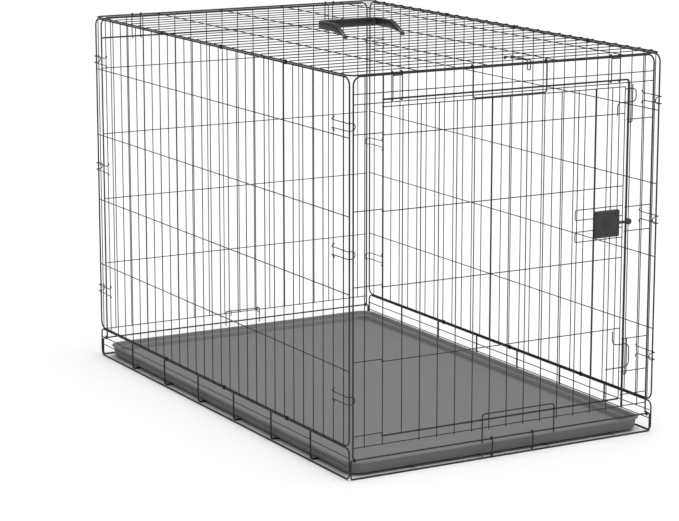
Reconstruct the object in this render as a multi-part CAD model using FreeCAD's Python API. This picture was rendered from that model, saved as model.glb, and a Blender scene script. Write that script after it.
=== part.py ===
"""Folding wire dog crate: wire panels, drop-in tray, swing door, latch, clips and carry handle.

Millimetres. X runs across the crate, Y along it, Z up. The door end faces -Y and the floor is z = 0.
Every bent wire is made as straight rods joined by short bends.
"""
import FreeCAD, Part
import math, os

V = FreeCAD.Vector
X, Y, Z = V(1, 0, 0), V(0, 1, 0), V(0, 0, 1)
os.makedirs("parts", exist_ok=True)

# ---- overall sizes --------------------------------------------------------------------------------
length = 1219.2          # over the end wires
width = 762.0            # over the side clips
height = 825.5           # floor to the top wires, without the handle

# ---- wire radii -----------------------------------------------------------------------------------
border_r = 1.75          # panel borders and base loops
thin_r = 1.05            # panel wires
bold_r = 1.9             # door frame rod, door bottom rod and base cross wires
clip_r = 1.0             # corner clips
hook_r = 1.2             # top clips, centre hook, keepers, tabs and tray clip
bail_r = 1.6             # top bail
guard_r = 1.5            # door foot guard and base ties
eye_r = 1.5              # fold eyes of the end panels

# ---- fits -----------------------------------------------------------------------------------------
gap = 0.3                # free space between pieces that move on each other
weld = 0.2               # how far a welded wire sinks into the next one

# ---- bends, to the middle of the wire ------------------------------------------------------------
panel_bend, lip_bend, loop_bend = 17.0, 12.0, 4.5
rod_bend = 8.0           # where the lintel turns down into the jamb
small_bend = 2.2         # clips and hooks

# ---- tray -----------------------------------------------------------------------------------------
tray_inset, tray_corner, tray_wall = 15.0, 28.0, 2.6
tray_height = 24.0

# ---- base heights ---------------------------------------------------------------------------------
fold_clear = 9.25        # tray's rim to the fold wire that it slides under
lip_rise = 25.0          # side lip above the fold wires
lip_wire_drops = (38.0, 20.0)

# ---- wire counts and spacings ---------------------------------------------------------------------
side_uprights, side_margin = 29, 25.1
side_rails, side_rail_top = 4, 119.0
top_cross_count, top_margin = 28, 35.85
long_wire_x = (-221.0, -55.0, 110.0, 279.0)
end_bays = 18            # an end is divided into this many equal bays
base_cross_count = 6
hinge_k, jamb_k = 2, 16  # upright numbers of the door's hinge wire and jamb, from the left border
end_inset = 11.55        # end panel's border, in from the side border

# ---- door and its panel ---------------------------------------------------------------------------
sill_rise = 24.0         # lowest rail of an end panel above the fold wire
lintel_drop = 47.9       # lintel below the panel's top border
line_drops = (34.9, 55.2)
left_rail_rise, left_rail_drop, left_rails = 24.0, 67.0, 5
door_edge_gap = 10.33    # door's free edge to the jamb
door_top_drop = 15.0     # door's top rail below the lintel
door_rail_drop = 4.0     # door rails sit this far below the panel's left rails
door_tail = 3.0          # door uprights end this far below the sill
door_rod_rise = 18.5     # door's bottom rod above the sill
keeper_length, keeper_rise, keeper_width = 80.0, 70.0, 8.0
tab_reach = 16.0         # the tabs reach this far past the jamb
guard_x, guard_rise, guard_drop = (-60.0, 119.0), 32.0, 30.0

# ---- latch ----------------------------------------------------------------------------------------
plate_w, plate_h, plate_t = 61.5, 57.5, 6.5
plate_inset, plate_z = 44.0, 470.0
plate_corner, plate_edge = 3.5, 1.6
neck_h, neck_t, neck_len = 6.0, 3.4, 40.0
knob_r, knob_edge, bolt_travel = 6.5, 1.2, 16.0
pin_length, pin_rises, pin_half = 120.0, (24.2, -22.3), 10.8

# ---- clips, hooks and straps ----------------------------------------------------------------------
clip_end_space, clip_mid_rise = 97.0, 52.0
clip_half, clip_spread = 7.6, 8.0
clip_reach = 13.0        # closed end of a corner clip, measured in from the side wires
top_clip_in, top_clip_half = (107.0, 116.0), 11.0
strap_bays = (-8.15, -1.2, 5.8)       # places along a side, in bays of its uprights from the middle
strap_wall, strap_width, strap_play = 1.2, 6.0, 0.12
bail_x = (-92.0, 86.0)
hook_x, hook_half, hook_tip_half, hook_drop = 42.0, 8.0, 4.0, 10.85
tie_x, tie_play = (-34.0, 67.0), 0.1
tray_clip_x, tray_clip_play, clip_eye_r = (-36.0, 58.0), 1.1, 0.9

# ---- handle ---------------------------------------------------------------------------------------
handle_x, handle_half = -4.0, 73.0
arm_w, grip_y, grip_d, grip_h = 9.0, 48.0, 12.0, 18.0
handle_rise = 24.5       # top of the grip above the top wires
handle_eye_r = 4.0

# ---- planes that follow from the sizes above ------------------------------------------------------
clip_plane = width / 2 - clip_r                      # corner clip legs run here
upright_x = clip_plane - clip_r - gap - thin_r       # side uprights
side_x = upright_x - thin_r - border_r + weld        # side borders and base lip loops
side_rail_x = upright_x - 2 * thin_r + weld
end_half = side_x - end_inset                        # end panel's half width, to its border
bail_y = length / 2 - bail_r - 0.05
end_top_y = bail_y - bail_r - gap - border_r         # top panel's end border
door_upright_y = bail_y - bail_r - gap - thin_r - 0.05
door_rail_y = door_upright_y - 2 * thin_r + weld
guard_back_y = door_upright_y + thin_r - 0.1
hinge_y = min(door_rail_y - 2 * thin_r - gap,        # panel uprights, with the door's hinge wire
              guard_back_y - gap - 2 * bold_r - thin_r)
hinge_curl = door_rail_y - hinge_y                   # door wires bend round the hinge wire
end_rail_y = hinge_y - 2 * thin_r + weld
arch_y = hinge_y - thin_r - border_r + weld          # end panel border
end_y = hinge_y + thin_r + border_r - weld           # end members of the side borders
lintel_y = hinge_y + thin_r + bold_r - 0.01          # lies along the jamb's upright
fold_y = guard_back_y - gap - 0.05 - border_r        # fold wires, behind the door's foot guard
end_pitch = width / end_bays
hinge_x = -width / 2 + hinge_k * end_pitch
jamb_x = -width / 2 + jamb_k * end_pitch
side_pitch = (length - 2 * side_margin) / (side_uprights - 1)
top_pitch = (length - 2 * top_margin) / (top_cross_count - 1)
base_cross_pitch = length / (base_cross_count + 1)

# ---- heights that follow --------------------------------------------------------------------------
tray_z = 2 * bold_r + 2 * thin_r - weld + gap
rim_z = tray_z + tray_height
fold_z = rim_z + fold_clear + border_r               # fold wires of the end panels
lip_z = fold_z + lip_rise
cross_z = height - thin_r
top_z = cross_z - thin_r - border_r + weld           # top panel border
long_z = cross_z - 2 * thin_r + weld
side_top_z = top_z - 2 * border_r - gap
side_low_z = lip_z + 2 * border_r + gap
bail_clear = 2 * (border_r + bail_r) + gap + 0.15    # top border to arch, past the bail's curls
bail_drop = math.sqrt(max(bail_clear ** 2 - (end_top_y - arch_y) ** 2, 0))
end_top_z = min(long_z - thin_r - gap - border_r, top_z - bail_drop)
side_rail_pitch = (side_top_z - side_low_z - side_rail_top) / side_rails
side_rail_z = [side_low_z + side_rail_pitch * (i + 1) for i in range(side_rails)]
sill_z = fold_z + sill_rise
lintel_z = end_top_z - lintel_drop
line_z = [end_top_z - drop for drop in line_drops]
left_low_z, left_high_z = sill_z + left_rail_rise, lintel_z - left_rail_drop
left_rail_z = [left_low_z + (left_high_z - left_low_z) * i / (left_rails - 1) for i in range(left_rails)]
door_top_z = lintel_z - door_top_drop
door_edge_x = jamb_x - door_edge_gap
keeper_low_z = sill_z + keeper_rise
keeper_high_z = door_top_z + door_rail_drop - keeper_length
plate_x = door_edge_x - plate_inset
clip_z = (side_low_z + clip_end_space, height / 2 + clip_mid_rise, side_top_z - clip_end_space)


# ---- wire tools -----------------------------------------------------------------------------------
def rod(a, b, r):
    """A straight round wire from a to b."""
    a, b = V(*a), V(*b)
    return Part.makeCylinder(r, (b - a).Length, a, b - a)


def disc(at, along, r):
    return Part.Face(Part.Wire(Part.makeCircle(r, at, along)))


def turn(at, heading, axis, radius, angle, r):
    """A bend of a wire that leaves `at` along heading. Returns the solid, its end and the new heading."""
    centre = at + axis.cross(heading) * radius
    solid = disc(at, heading, r).revolve(centre, axis, angle)
    spin = FreeCAD.Rotation(axis, angle)
    return solid, centre + spin.multVec(at - centre), spin.multVec(heading)


def run(points, r, bend, closed=False):
    """A wire through the points, with a bend of the given radius at each inner corner."""
    p = [V(*q) for q in points]
    n = len(p)
    solids = []
    corners = range(n) if closed else range(1, n - 1)
    cut = {}
    for i in corners:
        into, out = (p[i] - p[i - 1]).normalize(), (p[(i + 1) % n] - p[i]).normalize()
        angle = math.acos(max(-1, min(1, into.dot(out))))
        axis = into.cross(out)
        if angle < 1e-4:
            continue
        axis.normalize()
        cut[i] = bend * math.tan(angle / 2)
        piece = turn(p[i] - into * cut[i], into, axis, bend, math.degrees(angle), r)
        solids.append(piece[0])
    for i in range(n if closed else n - 1):
        j = (i + 1) % n
        along = (p[j] - p[i]).normalize()
        a, b = p[i] + along * cut.get(i, 0), p[j] - along * cut.get(j, 0)
        if (b - a).dot(along) > 0.05:
            solids.append(Part.makeCylinder(r, (b - a).Length, a, along))
    return solids


def ring(centre, axis, radius, r):
    return Part.makeTorus(radius, r, V(*centre), axis)


def mirrored(solids, across_x=False, across_y=False):
    for on, normal in ((across_x, X), (across_y, Y)):
        if on:
            solids = [s.mirror(V(0, 0, 0), normal) for s in solids]
    return solids


def keep(name, solids):
    shape = Part.makeCompound(solids) if len(solids) > 1 else solids[0]
    for solid in shape.Solids:
        assert solid.isValid() and solid.Volume > 0, name
    shape.exportStep("parts/%s.step" % name)


def rectangle(kind, at, low, high, r, bend):
    """A closed border. kind names its plane, at is its place on the third axis."""
    (a0, b0), (a1, b1) = low, high
    corners = ((a0, b0), (a1, b0), (a1, b1), (a0, b1))
    place = {"xz": lambda a, b: (a, at, b), "yz": lambda a, b: (at, a, b), "xy": lambda a, b: (a, b, at)}
    return run([place[kind](a, b) for a, b in corners], r, bend, closed=True)


def spread(count, pitch):
    return [(i - (count - 1) / 2) * pitch for i in range(count)]


# ---- base -----------------------------------------------------------------------------------------
def make_base():
    keep("base_side_loops", [s for side in (-1, 1) for s in rectangle(
        "yz", side * side_x, (-end_y, border_r), (end_y, lip_z), border_r, lip_bend)])
    loop_x = side_x - 2 * border_r - 0.25
    for name, end in (("base_front_loop", -1), ("base_rear_loop", 1)):
        keep(name, rectangle("xz", end * fold_y, (-loop_x, border_r), (loop_x, fold_z), border_r, loop_bend))
    post_x = side_x - border_r - bold_r + weld
    keep("base_cross_wires", [s for y in spread(base_cross_count, base_cross_pitch) for s in run(
        [(-post_x, y, lip_z + 1), (-post_x, y, bold_r), (post_x, y, bold_r), (post_x, y, lip_z + 1)],
        bold_r, 7)])
    lip_x = post_x + bold_r + thin_r - weld
    lip_wire_z = [lip_z - drop for drop in lip_wire_drops]
    keep("base_lip_wires", [rod((side * lip_x, -end_y + 5, z), (side * lip_x, end_y - 5, z), thin_r)
                            for side in (-1, 1) for z in lip_wire_z])
    floor_z = 2 * bold_r + thin_r - weld
    reach = fold_y - border_r + 0.6
    keep("base_long_wires", [rod((x, -reach, floor_z), (x, reach, floor_z), thin_r) for x in long_wire_x])
    over = border_r + tie_play + guard_r
    front, back, low = -fold_y - over, -fold_y + over, border_r + over
    keep("base_ties", [s for x in tie_x for s in run(
        [(x, back, fold_z - 4), (x, back, fold_z + over), (x, front, fold_z + over), (x, front, low),
         (x, back, low)], guard_r, over - 0.02)])


# ---- side and top panels --------------------------------------------------------------------------
def make_sides():
    for name, side in (("left", -1), ("right", 1)):
        keep(name + "_border", rectangle(
            "yz", side * side_x, (-end_y, side_low_z), (end_y, side_top_z), border_r, panel_bend))
        foot, head = side_low_z - 1.5, side_top_z + 1.5
        keep(name + "_uprights", [rod((side * upright_x, y, foot), (side * upright_x, y, head), thin_r)
                                  for y in spread(side_uprights, side_pitch)])
        reach = end_y - border_r + 0.1
        keep(name + "_rails", [rod((side * side_rail_x, -reach, z), (side * side_rail_x, reach, z), thin_r)
                               for z in side_rail_z])


def make_top():
    corners = (-side_x, -end_top_y), (side_x, end_top_y)
    keep("top_border", rectangle("xy", top_z, *corners, border_r, panel_bend))
    reach = side_x + 1.5
    keep("top_cross_wires", [rod((-reach, y, cross_z), (reach, y, cross_z), thin_r)
                             for y in spread(top_cross_count, top_pitch)])
    reach = end_top_y - border_r + 0.1
    keep("top_long_wires", [rod((x, -reach, long_z), (x, reach, long_z), thin_r) for x in long_wire_x])


def strap(side, y, low_z, high_z):
    """A flat band round two stacked border wires."""
    x = side * side_x

    def outline(half):
        a, b = V(x - half, y, low_z), V(x - half, y, high_z)
        c, d = V(x + half, y, high_z), V(x + half, y, low_z)
        over, under = V(x, y, high_z + half), V(x, y, low_z - half)
        edges = [Part.LineSegment(a, b), Part.Arc(b, over, c), Part.LineSegment(c, d), Part.Arc(d, under, a)]
        return Part.Face(Part.Wire([edge.toShape() for edge in edges]))

    inner = border_r + strap_play
    band = outline(inner + strap_wall).extrude(V(0, strap_width, 0))
    band = band.cut(outline(inner).extrude(V(0, strap_width, 0)))
    band.translate(V(0, -strap_width / 2, 0))
    return band


def make_straps():
    for name, side in (("left", -1), ("right", 1)):
        keep(name + "_hinge_straps", [strap(side, bay * side_pitch, low, high) for bay in strap_bays
                                      for low, high in ((side_top_z, top_z), (lip_z, side_low_z))])


# ---- end panels -----------------------------------------------------------------------------------
def end_frame(end):
    """The border of an end panel: an arch with an eye round the fold wire beside each foot."""
    foot = fold_z + 2
    y = end * arch_y
    arch = [(-end_half, y, foot), (-end_half, y, end_top_z), (end_half, y, end_top_z), (end_half, y, foot)]
    solids = run(arch, border_r, panel_bend)
    eye = max(border_r + gap + eye_r, fold_y - arch_y - border_r - eye_r + weld)
    return solids + [ring((side * end_half, end * fold_y, fold_z), X, eye, eye_r) for side in (-1, 1)]


def bar(x0, x1, y, z, r=thin_r):
    return rod((x0, y, z), (x1, y, z), r)


def end_upright(k, y, low, high, r=thin_r):
    x = -width / 2 + k * end_pitch
    return rod((x, y, low), (x, y, high), r)


def make_front():
    keep("front_border", end_frame(-1))
    inside = end_half - border_r + 0.1
    top, low = end_top_z + 1.2, sill_z - 2
    uprights = [end_upright(k, -hinge_y, low, top) for k in (1, hinge_k, end_bays - 1)]
    keep("front_uprights", uprights + [end_upright(jamb_k, -hinge_y, low, line_z[-1] + thin_r)])
    rails = [bar(-inside, inside, -end_rail_y, z) for z in (sill_z, *line_z)]
    rails += [bar(-inside, hinge_x + 1, -end_rail_y, z) for z in left_rail_z]
    right_rail_z = [left_low_z + 1, keeper_low_z + 6, keeper_low_z + keeper_length - 2, keeper_high_z + 6,
                    plate_z - 23, plate_z + 29]
    rails += [bar(jamb_x - 1, inside, -end_rail_y, z) for z in right_rail_z]
    keep("front_rails", rails)
    door_frame = [(hinge_x - 4, -lintel_y, lintel_z), (jamb_x, -lintel_y, lintel_z), (jamb_x, -lintel_y, low)]
    keep("front_door_frame_rod", run(door_frame, bold_r, rod_bend))
    keeper_y = -(end_rail_y + thin_r + hook_r - 0.1)
    x0 = jamb_x + bold_r + 1.6
    x1 = x0 + keeper_width
    loops = []
    for z in (keeper_low_z, keeper_high_z):
        top = z + keeper_length
        loops += run([(x0, keeper_y, top), (x0, keeper_y, z), (x1, keeper_y, z), (x1, keeper_y, top)],
                     hook_r, keeper_width / 2 - 0.1)
    keep("front_keepers", loops)


def make_rear():
    keep("rear_border", end_frame(1))
    inside = end_half - border_r + 0.1
    keep("rear_uprights", [end_upright(k, hinge_y, sill_z - 2, end_top_z + 1.2) for k in range(1, end_bays)])
    keep("rear_rails", [bar(-inside, inside, end_rail_y, z) for z in (sill_z, *side_rail_z)])
    keep("rear_top_rod", [bar(-inside, inside, lintel_y, lintel_z, bold_r)])


# ---- door and latch -------------------------------------------------------------------------------
def door_rail(z):
    """A door rail whose left end curls round the hinge wire."""
    start = V(hinge_x, -door_rail_y, z)
    bend = turn(start, V(-1, 0, 0), V(0, 0, -1), hinge_curl, 265, thin_r)[0]
    return [rod(tuple(start), (door_edge_x + 0.6, -door_rail_y, z), thin_r), bend]


def make_door():
    rail_z = [z - door_rail_drop for z in left_rail_z[1:]] + [door_top_z]
    keep("door_rails", [s for z in rail_z for s in door_rail(z)])
    head, foot, rod_z = door_top_z + thin_r, sill_z - door_tail, sill_z + door_rod_rise
    uprights = [end_upright(k, -door_upright_y, foot, head) for k in range(hinge_k + 2, jamb_k)]
    for x in (hinge_x + end_pitch, door_edge_x):
        uprights.append(rod((x, -door_upright_y, rod_z + 3), (x, -door_upright_y, head), thin_r))
    keep("door_uprights", uprights)
    rod_y = -(door_upright_y - thin_r - bold_r + weld)
    rod_start = hinge_x + hinge_curl + thin_r - 0.1
    keep("door_bottom_rod", [bar(rod_start, door_edge_x + 1.5, rod_y, rod_z, bold_r),
                             ring((hinge_x, -hinge_y, rod_z), Z, hinge_curl, thin_r)])
    guard_y = -(guard_back_y + guard_r)
    (a, b), top, low = guard_x, sill_z + guard_rise, sill_z - guard_drop
    keep("door_foot_guard", run([(a, guard_y, low), (a, guard_y, top), (b, guard_y, top), (b, guard_y, low)],
                                guard_r, 6))
    tab_y = -(door_upright_y + thin_r + hook_r - 0.1)
    x0, nose = door_edge_x - 20, jamb_x + tab_reach
    z = keeper_high_z
    upper = [(x0, z + 17), (x0, z + 44), (nose, z + 44), (nose, z + 72), (door_edge_x, z + 72)]
    z = keeper_low_z
    lower = [(x0, z + 99), (x0, z + 69), (nose - 3, z + 69), (nose - 3, z + 18), (x0 - 16, z + 18)]
    tabs = [s for path, bend in ((upper, 9), (lower, 12))
            for s in run([(x, tab_y, z) for x, z in path], hook_r, bend)]
    keep("door_tabs", tabs)


def make_latch():
    pin_y = -(door_upright_y + 2 * thin_r - 0.1)
    pins = []
    end_x = door_edge_x - 2
    pin_x = end_x - pin_length
    for rise in pin_rises:
        high, low = plate_z + rise + pin_half, plate_z + rise - pin_half
        hairpin = [(end_x, pin_y, high), (pin_x, pin_y, high), (pin_x, pin_y, low), (end_x, pin_y, low)]
        pins += run(hairpin, thin_r, 4)
    keep("latch_guide_wires", pins)
    back = pin_y - thin_r + 0.02
    corner = V(plate_x - plate_w / 2, back - plate_t, plate_z - plate_h / 2)
    plate = Part.makeBox(plate_w, plate_t, plate_h, corner)
    edges = [e for e in plate.Edges if abs(e.tangentAt(e.FirstParameter).y) > 0.9]
    plate = plate.makeFillet(plate_corner, edges)
    front = [e for e in plate.Edges if max(v.Point.y for v in e.Vertexes) < back - plate_t + 0.01]
    plate = plate.makeFillet(plate_edge, front)
    channel_y = back - plate_t / 2
    knob_x = jamb_x + 1.7
    neck_x = knob_x - 3 - neck_len
    neck_low = V(neck_x, channel_y - neck_t / 2, plate_z - neck_h / 2)
    depth = 2 * (bolt_travel + neck_len)
    channel = Part.makeBox(depth, neck_t + 2 * gap, neck_h + 2 * gap, neck_low - V(bolt_travel + 2, gap, gap))
    keep("latch_plate", plate.cut(channel).Solids)
    neck = Part.makeBox(neck_len, neck_t, neck_h, neck_low)
    knob_back = -(door_upright_y + thin_r + gap)
    knob_face = neck_low.y - 1.2
    knob = Part.makeCylinder(knob_r, knob_back - knob_face, V(knob_x, knob_back, plate_z), V(0, -1, 0))
    knob = knob.makeFillet(knob_edge, [knob.Edges[0], knob.Edges[2]])
    keep("latch_bolt", neck.fuse(knob).removeSplitter().Solids)


# ---- clips, bail and hook -------------------------------------------------------------------------
def corner_clip(z):
    """A spring clip at the right front corner: closed end before the end panel, curls on an upright."""
    pivot_y = -(side_uprights - 3) / 2 * side_pitch
    hook_y = -(end_y + border_r + gap + clip_r)
    nose_x = side_x + border_r - clip_reach + clip_half
    curl = thin_r + gap + clip_r
    solids = [turn(V(nose_x, hook_y, z + clip_half), V(-1, 0, 0), V(0, -1, 0), clip_half, 180, clip_r)[0]]
    for side in (1, -1):
        near, far = z + side * clip_half, z + side * clip_spread
        solids += run([(nose_x, hook_y, near), (clip_plane, hook_y, near), (clip_plane, pivot_y - 12, far),
                       (clip_plane, pivot_y, far)], clip_r, small_bend)
        solids.append(turn(V(clip_plane, pivot_y, far), Y, Z, curl, 270, clip_r)[0])
    return solids


def top_clip(x):
    """A clip of the top panel's front border whose two tails pass under the lintel."""
    curl = border_r + gap + hook_r
    leg_y = -end_top_y - curl
    tail_y, tail_z = -(hinge_y + thin_r + gap), lintel_z - bold_r - gap - hook_r
    solids = []
    for side in (-1, 1):
        at = x + side * top_clip_half
        solids += run([(at, leg_y, top_z), (at, leg_y, tail_z), (at, tail_y, tail_z)], hook_r, small_bend)
        solids.append(turn(V(at, leg_y, top_z), Z, V(-1, 0, 0), curl, 250, hook_r)[0])
    reach = top_clip_half - hook_r + 0.1
    solids.append(rod((x - reach, leg_y, top_z - 5), (x + reach, leg_y, top_z - 5), hook_r))
    return solids


def make_clips():
    corners = (("front_right", 0, 0), ("front_left", 1, 0), ("rear_right", 0, 1), ("rear_left", 1, 1))
    for corner, on_left, on_rear in corners:
        for level, z in zip(("low", "mid", "high"), clip_z):
            keep("corner_clip_%s_%s" % (corner, level), mirrored(corner_clip(z), on_left, on_rear))
    for side, x in (("left", top_clip_in[0] - side_x), ("right", side_x - top_clip_in[1])):
        keep("top_clip_front_" + side, top_clip(x))
        keep("top_clip_rear_" + side, mirrored(top_clip(x), across_y=True))


def make_bail_and_hook():
    curl = border_r + gap + bail_r
    leg_y = -end_top_y - curl
    (a, b), low = bail_x, door_top_z + thin_r + gap + bail_r + 0.1
    solids = run([(a, leg_y, top_z), (a, leg_y, low), (b, leg_y, low), (b, leg_y, top_z)], bail_r, 6)
    solids += [turn(V(at, leg_y, top_z), Z, V(-1, 0, 0), curl, 265, bail_r)[0] for at in bail_x]
    keep("top_bail", solids)
    pivot_y = -(top_cross_count - 3) / 2 * top_pitch
    curl = thin_r + gap + hook_r
    leg_z, nose_y = cross_z + curl, -end_top_y - border_r - gap - hook_r
    nose_z = top_z - hook_drop
    solids = []
    for side in (-1, 1):
        at, tip = hook_x + side * hook_half, hook_x + side * hook_tip_half
        solids += run([(at, pivot_y, leg_z), (at, pivot_y - 8, leg_z), (tip, nose_y + 8, leg_z),
                       (tip, nose_y, leg_z), (tip, nose_y, nose_z)], hook_r, small_bend)
        solids.append(turn(V(at, pivot_y, leg_z), Y, V(-1, 0, 0), curl, 265, hook_r)[0])
    start = V(hook_x - hook_tip_half, nose_y, nose_z)
    solids.append(turn(start, V(0, 0, -1), V(0, -1, 0), hook_tip_half, 180, hook_r)[0])
    keep("centre_hook", solids)


def make_tray_clip():
    """A wire gate that hangs from the rear panel's lowest rail above the tray's rim."""
    leg_y = fold_y + border_r + gap + hook_r
    eye = leg_y - hook_r + 0.05 - end_rail_y - clip_eye_r
    (a, b), low, high = tray_clip_x, rim_z + tray_clip_play, sill_z + 2
    solids = run([(a, leg_y, low), (a, leg_y, high), (b, leg_y, high), (b, leg_y, low)], hook_r, 3)
    solids += [ring((at, end_rail_y, sill_z), X, eye, clip_eye_r) for at in (a + 8, b - 8)]
    keep("tray_clip", solids)


# ---- tray and handle ------------------------------------------------------------------------------
def rounded_slab(inset, low_z, high_z, corner):
    hx, hy = width / 2 - inset, length / 2 - inset
    slab = Part.makeBox(2 * hx, 2 * hy, high_z - low_z, V(-hx, -hy, low_z))
    return slab.makeFillet(corner, [e for e in slab.Edges if abs(e.tangentAt(e.FirstParameter).z) > 0.9])


def tapered(inset_low, inset_high, low_z, high_z, corner_low, corner_high):
    """A rounded block that leans out from its lower outline to its upper one."""
    def outline(inset, z, corner):
        face = rounded_slab(inset, z, z + 1, corner).Faces
        return min(face, key=lambda f: f.CenterOfMass.z if abs(f.normalAt(0, 0).z) > 0.9 else 1e9).OuterWire
    lower, upper = outline(inset_low, low_z, corner_low), outline(inset_high, high_z, corner_high)
    return Part.makeLoft([lower, upper], True)


def make_tray():
    foot = tray_inset + 7
    outer = tapered(foot, tray_inset + 3.5, tray_z, rim_z - 2.4, tray_corner - 4, tray_corner - 2)
    lip = rounded_slab(tray_inset, rim_z - 2.4, rim_z, tray_corner)
    well = tapered(foot + tray_wall + 9, foot + 10, tray_z + tray_wall, rim_z - 9, 16, 20)
    step = tapered(foot + 5, tray_inset + 7.5, rim_z - 9, rim_z + 0.5, 22, 24)
    keep("tray", outer.fuse(lip).cut(well).cut(step).removeSplitter().Solids)


def make_handle():
    pivot_y = -1.5 * top_pitch
    start, mid = pivot_y + handle_eye_r - 0.2, pivot_y + 26
    grip_high = height + handle_rise
    grip_low = grip_high - grip_h
    side_view = ((start, height + 0.5), (mid, height + 0.5), (grip_y, grip_low), (grip_y, grip_high),
                 (mid, height + 9), (start, height + 2.6))
    arms, eyes = [], []
    for side in (-1, 1):
        x = handle_x + side * handle_half - arm_w / 2
        barrel, bore = (Part.makeCylinder(r, arm_w, V(x, pivot_y, cross_z), X)
                        for r in (handle_eye_r, thin_r + gap))
        eyes.append(barrel.cut(bore))
        outline = [V(x, y, z) for y, z in side_view]
        arms.append(Part.Face(Part.makePolygon(outline + outline[:1])).extrude(V(arm_w, 0, 0)))
    grip = Part.makeBox(2 * handle_half + arm_w, grip_d, grip_h,
                        V(handle_x - handle_half - arm_w / 2, grip_y, grip_low))
    grip = grip.makeFillet(3, [e for e in grip.Edges if e.BoundBox.YMin > grip_y + 1])
    keep("handle_grip", [grip])
    keep("handle_arms", arms)
    keep("handle_eyes", eyes)


for make in (make_base, make_sides, make_top, make_straps, make_front, make_rear, make_door, make_latch,
             make_clips, make_bail_and_hook, make_tray_clip, make_tray, make_handle):
    make()
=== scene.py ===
"""Wire dog crate: coated wires, weld spots, moulded tray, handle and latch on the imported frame.

Metres. X runs across the crate, Y from the door end to the rear, Z up.
"""
import math

import bmesh
import bpy
from bpy.props import FloatProperty, FloatVectorProperty, IntProperty, PointerProperty
from mathutils import Matrix, Vector


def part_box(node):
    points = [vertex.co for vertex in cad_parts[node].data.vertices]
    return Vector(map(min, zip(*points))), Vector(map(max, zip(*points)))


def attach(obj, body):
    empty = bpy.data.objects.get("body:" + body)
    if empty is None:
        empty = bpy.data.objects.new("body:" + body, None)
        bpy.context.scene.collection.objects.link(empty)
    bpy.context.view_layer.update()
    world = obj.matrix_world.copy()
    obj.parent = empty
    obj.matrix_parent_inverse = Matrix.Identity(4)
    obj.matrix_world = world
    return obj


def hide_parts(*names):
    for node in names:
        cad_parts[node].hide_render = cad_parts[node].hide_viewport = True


bl_info = {
    "name": "Wire Dog Crate",
    "version": (1, 0, 0),
    "blender": (4, 5, 0),
    "location": "View3D > Sidebar > Crate",
    "description": "Builds the looks of a folding wire dog crate around its fixed frame",
    "category": "Object",
}

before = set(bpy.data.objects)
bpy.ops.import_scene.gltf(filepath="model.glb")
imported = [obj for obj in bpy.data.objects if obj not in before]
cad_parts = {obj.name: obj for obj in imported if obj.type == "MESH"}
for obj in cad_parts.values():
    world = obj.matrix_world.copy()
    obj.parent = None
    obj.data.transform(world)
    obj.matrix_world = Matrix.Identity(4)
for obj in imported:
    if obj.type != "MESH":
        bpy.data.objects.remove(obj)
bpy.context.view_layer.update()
MM = 0.001
X, Y, Z = Vector((1, 0, 0)), Vector((0, 1, 0)), Vector((0, 0, 1))
GAP, WELD = 0.3 * MM, 0.2 * MM


# ---- places read from the frame -------------------------------------------------------------------
def low(node, axis):
    return float(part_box(node)[0][axis])


def high(node, axis):
    return float(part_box(node)[1][axis])


def mid(node, axis):
    return (low(node, axis) + high(node, axis)) / 2


def half(node, axis):
    return (high(node, axis) - low(node, axis)) / 2


THIN = half("right_uprights", 0)
BORDER = half("right_border", 0)
BOLD = half("rear_top_rod", 2)
HOOK = half("front_keepers", 1)
GUARD = half("door_foot_guard", 1)
CLIP, BAIL, EYE, CLIP_EYE = 1.0 * MM, 1.6 * MM, 1.5 * MM, 0.9 * MM

SIDE_X = mid("right_border", 0)
UPRIGHT_X = mid("right_uprights", 0)
RAIL_X = mid("right_rails", 0)
END_Y = high("right_border", 1) - BORDER
FOLD_Y = mid("base_rear_loop", 1)
FOLD_Z = high("base_rear_loop", 2) - BORDER
LIP_Z = high("base_side_loops", 2) - BORDER
TOP_Z = mid("top_border", 2)
TOP_END_Y = high("top_border", 1) - BORDER
CROSS_Z = mid("top_cross_wires", 2)
LONG_Z = mid("top_long_wires", 2)
HINGE_Y = mid("rear_uprights", 1)
END_RAIL_Y = mid("rear_rails", 1)
LINTEL_Y = mid("rear_top_rod", 1)
LINTEL_Z = mid("rear_top_rod", 2)
DOOR_Y = -mid("door_uprights", 1)
DOOR_RAIL_Y = DOOR_Y - 2 * THIN + WELD
JAMB_X = high("front_door_frame_rod", 0) - BOLD
ARCH_Y = low("rear_border", 1) + BORDER
END_HALF = high("rear_border", 0) - BORDER
END_TOP_Z = high("rear_border", 2) - BORDER
SILL_Z = low("rear_rails", 2) + THIN
PLATE_Z = mid("latch_plate", 2)
KEEPER_LOW, KEEPER_HIGH = low("front_keepers", 2) + HOOK, high("front_keepers", 2) - 80 * MM
WIDTH = high("corner_clip_rear_right_low", 0) - low("corner_clip_rear_left_low", 0)
END_PITCH = WIDTH / 18
SIDE_PITCH = (high("right_uprights", 1) - low("right_uprights", 1) - 2 * THIN) / 28
HINGE_X = -WIDTH / 2 + 2 * END_PITCH


def across(k):
    """The X of an end panel's k-th upright, counted from the left."""
    return -WIDTH / 2 + k * END_PITCH


def row(count, first, last):
    return [first + (last - first) * i / (count - 1) for i in range(count)]


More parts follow.
